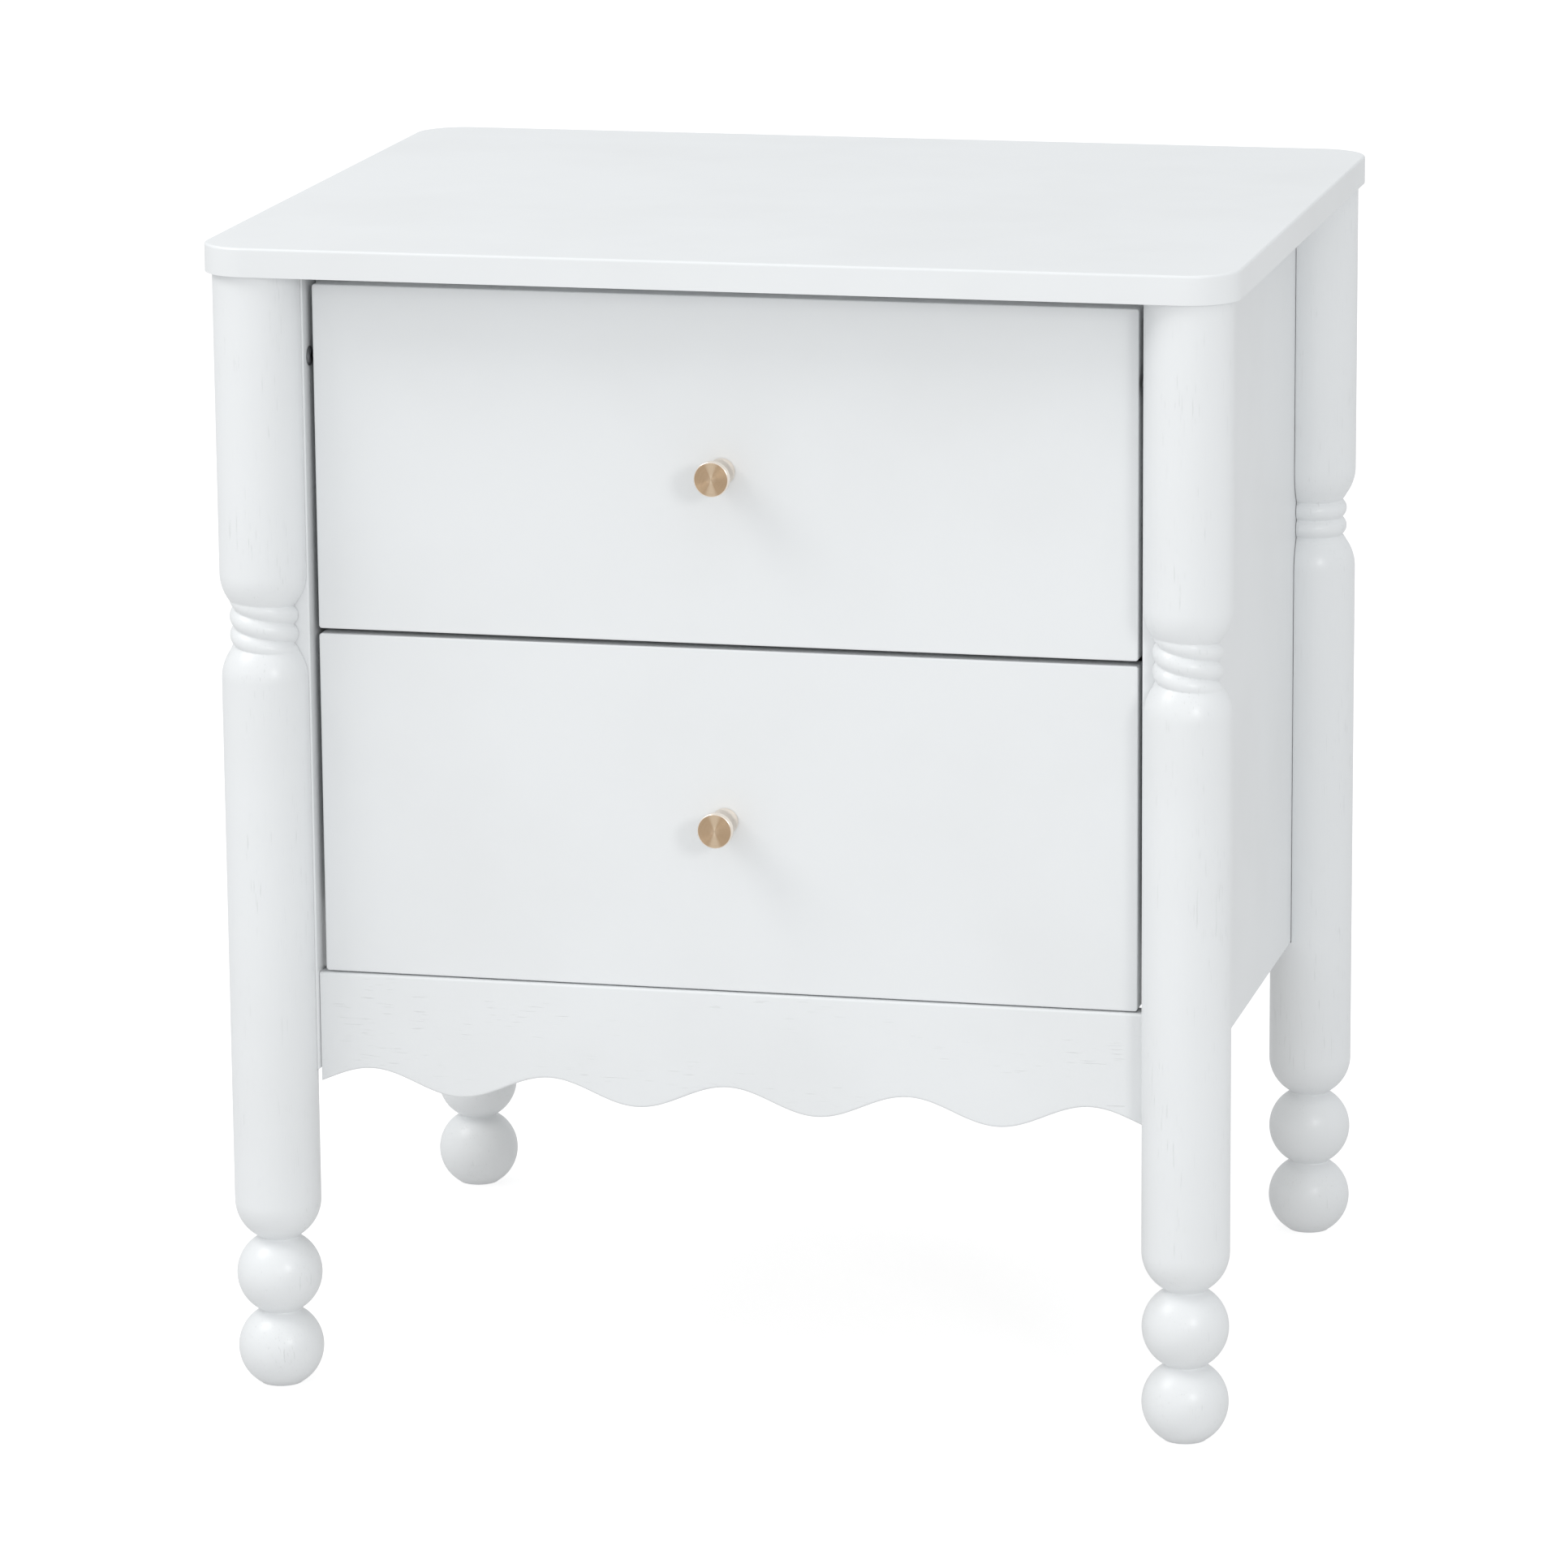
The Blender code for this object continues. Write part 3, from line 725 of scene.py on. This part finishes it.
def fastener(name, size, length, recessShape, matrix):
    # A shank under a rounded head with a shaped recess in its crown, pointing up Z. Pairs are (in, up or down).
    seat, wide, recess = length - size["headLength"], size["headRadius"], size["recess"]
    (inwards, up), (far, down) = size["shoulder"], size["crownEdge"]
    floor = length - size["recessDepth"]
    profile = [(0, 0), (size["radius"], 0), (size["radius"], seat), (wide, seat), (wide, seat + size["wall"])]
    profile += [(wide - inwards, seat + up), (wide - far, length - down), (recess * size["rim"], length)]
    profile += [(recess, length, recessShape), (recess * size["taper"], floor, recessShape), (0, floor)]
    return turned(name, profile, size["steps"], matrix, size["sharpAngle"])


screw = {
    "headRadius": 0.0040, "headLength": 0.0022, "radius": 0.0020, "steps": 48, "sharpAngle": 35,
    "wall": 0.0008, "shoulder": (0.0003, 0.0014), "crownEdge": (0.0010, 0.0002),
    "recess": 0.0020, "recessDepth": 0.0012,
    "rim": 1.15, "taper": 0.7, "armHalfWidth": 0.3,  # shares of the recess: the crown's inner edge, its floor, an arm
}


def buildKnobScrews():
    # Pan-head screws, run from inside the drawer into the knob.
    for drawer in ("upper", "lower"):
        low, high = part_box(f"{drawer}_knob_screw")
        middle = (low + high) / 2
        mesh = fastener("screw", screw, high.y - low.y, cross, upright(middle.x, low.y, middle.z, -90))
        keep(f"{drawer}KnobScrew", mesh, runnerSteel, "zinc_steel", f"{drawer}_knob_screw")


bolt = {
    "headRadius": 0.0050, "headLength": 0.0018, "radius": 0.0030, "steps": 48, "sharpAngle": 35,
    "wall": 0.0005, "shoulder": (0.0006, 0.0012), "crownEdge": (0.0018, 0.0001),
    "recess": 0.0023, "recessDepth": 0.0013, "rim": 1.12, "taper": 1.0,
}


def boltRowsTree():
    # One shape set at the corners of a rectangle on each side panel, then turned to face the panel. With a
    # single row of bolts Rise is 0, so each bolt is made twice at the same place.
    kinds = {"Geometry": "Geometry", "Half Width": "Float", "Span": "Float", "Rise": "Float", "Middle": "Float"}
    tree, size, end = geometryTree("panelBolts", kinds | {"Finish": "Material"})
    wire = Wire(tree)
    corners = wire.node("GeometryNodeMeshGrid", None, {0: size["Rise"], 1: size["Span"], 2: 2, 3: 2})
    one = wire.node("GeometryNodeInstanceOnPoints", None, {0: corners, 2: size["Geometry"]})
    sides = []
    for side, turn in ((-1.0, 90), (1.0, -90)):
        spot = wire.node("ShaderNodeCombineXYZ", None, {0: size["Half Width"] * side, 2: size["Middle"]})
        sides.append(wire.node("GeometryNodeTransform", None, {0: one, 1: spot, 2: (0, math.radians(turn), 0)}))
    end(wire.node("GeometryNodeJoinGeometry", None, {0: sides}))
    return tree


def buildBolts():
    # Button heads with a hexagon socket.
    names = [node for node in nodes if node.startswith("bolt_")]
    boxes = {node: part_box(node) for node in names}
    middles = [(low + high) / 2 for low, high in boxes.values()]
    low, high = boxes["bolt_upper_front_right"]
    length = high.x - low.x
    one = fastener("bolt", bolt, length, hexagon, Matrix.Translation((0, 0, -length)))
    values = {
        "Half Width": low.x, "Finish": boltSteel,
        "Span": max(p.y for p in middles) - min(p.y for p in middles),
        "Rise": max(p.z for p in middles) - min(p.z for p in middles),
        "Middle": (max(p.z for p in middles) + min(p.z for p in middles)) / 2,
    }
    mesh = grow(boltRowsTree(), values, one)
    keep("panelBolts", mesh, boltSteel, "zinc_steel", *names)


def buildRunners():
    for drawer in ("upper", "lower"):
        for member in ("outer", "middle", "inner"):
            for side in ("left", "right"):
                node = f"{drawer}_runner_{member}_{side}"
                title = f"{drawer}Runner{member.capitalize()}_{side}"
                keepCopy(title, node, easing["sheet"], runnerSteel, "zinc_steel")


studio = {
    "horizonSky": 0.75, "zenithSky": 0.22, "skyFade": (0.1, 0.95), "skyShade": (0.97, 0.988, 1.0),
    "skyLean": (-0.22, -0.40, 0.89),  # where the soft overhead light is brightest
    "distance": 3.0, "aim": (0.0, -0.1, 0.36),
    "floorShade": (0.40, 0.40, 0.40, 1), "floorRoughness": 0.9, "floorReach": 60.0, "floorDrop": 0.0002,
    "floorGlow": 0.76, "floorGlowOnPieces": 0.33,  # as seen, and as it lights the nightstand
}
lights = {
    "key": {"from": (-0.614, -0.336, 0.714), "size": 1.5, "power": 24.5, "shade": (1.0, 0.99, 0.975)},
    "front": {"from": (0.20, -0.97, 0.14), "size": 1.0, "power": 2.6, "shade": (1.0, 1.0, 1.0)},
    "fill": {"from": (0.56, -0.77, 0.30), "size": 0.6, "power": 12.3, "shade": (1.0, 0.995, 0.985)},
}


def softLight(name, light):
    lamp = bpy.data.lights.new(name + "Light", "AREA")
    lamp.shape, lamp.size, lamp.energy, lamp.color = "DISK", light["size"], light["power"], light["shade"]
    holder = bpy.data.objects.new(name + "Light", lamp)
    scene.collection.objects.link(holder)
    direction = Vector(light["from"]).normalized()
    holder.location = Vector(studio["aim"]) + direction * studio["distance"]
    holder.rotation_euler = direction.to_track_quat("Z", "Y").to_euler()


def buildStudio():
    world = bpy.data.worlds.new("studio")
    scene.world = world
    world.use_nodes = True
    world.node_tree.nodes.clear()
    wire = Wire(world.node_tree)
    direction = wire.node("ShaderNodeTexCoord", output="Generated")
    lean = {0: direction, 1: studio["skyLean"]}
    towards = wire.node("ShaderNodeVectorMath", {"operation": "DOT_PRODUCT"}, lean, "Value")
    amount = studio["horizonSky"] + studio["zenithSky"] * towards.fade(*studio["skyFade"])
    light = wire.node("ShaderNodeBackground", None, {"Color": (*studio["skyShade"], 1), "Strength": amount})
    wire.node("ShaderNodeOutputWorld", None, {"Surface": light})
    for name, light in lights.items():
        softLight(name, light)

    work = bmesh.new()
    bmesh.ops.create_grid(work, x_segments=4, y_segments=4, size=studio["floorReach"])
    floor = bpy.data.objects.new("floor", toMesh("floor", work))
    scene.collection.objects.link(floor)
    floor.location.z = -studio["floorDrop"]
    material, wire, _ = newMaterial("paleFloor")
    sheets = []
    for glow in (studio["floorGlowOnPieces"], studio["floorGlow"]):
        sheets.append(wire.node("ShaderNodeBsdfPrincipled", None, {
            "Base Color": studio["floorShade"], "Roughness": studio["floorRoughness"],
            "Specular IOR Level": 0.0, "Emission Color": (1, 1, 1, 1), "Emission Strength": glow,
        }))
    seen = wire.node("ShaderNodeLightPath")
    both = wire.node("ShaderNodeMixShader", None, {0: seen, 1: sheets[0], 2: sheets[1]})
    wire.node("ShaderNodeOutputMaterial", None, {"Surface": both})
    floor.data.materials.append(material)


camera = {
    "place": (0.9026, -3.8796, 1.2122), "turn": 13.283, "down": 13.026, "lean": 0.463,
    "lens": 174.15, "sensor": 36, "far": 200,
}


def buildCamera():
    data = bpy.data.cameras.new("camera")
    data.lens, data.sensor_width, data.clip_end = camera["lens"], camera["sensor"], camera["far"]
    holder = bpy.data.objects.new("camera", data)
    scene.collection.objects.link(holder)
    turn = Matrix.Rotation(math.radians(camera["turn"]), 4, "Z")
    tilt = Matrix.Rotation(math.radians(90 - camera["down"]), 4, "X")
    lean = Matrix.Rotation(-math.radians(camera["lean"]), 4, "Z")
    holder.matrix_world = Matrix.Translation(camera["place"]) @ turn @ tilt @ lean
    scene.camera = holder


buildCamera()
buildStudio()
print("studio: camera, floor and soft lights")
buildLegs()
print("legs turned")
buildTop()
buildFronts()
buildApron()
buildBoards()
print("top, fronts, apron and boards")
buildKnobs()
buildKnobScrews()
buildBolts()
buildRunners()
print("knobs, screws, bolts and runners")
scene.view_settings.view_transform = "Standard"
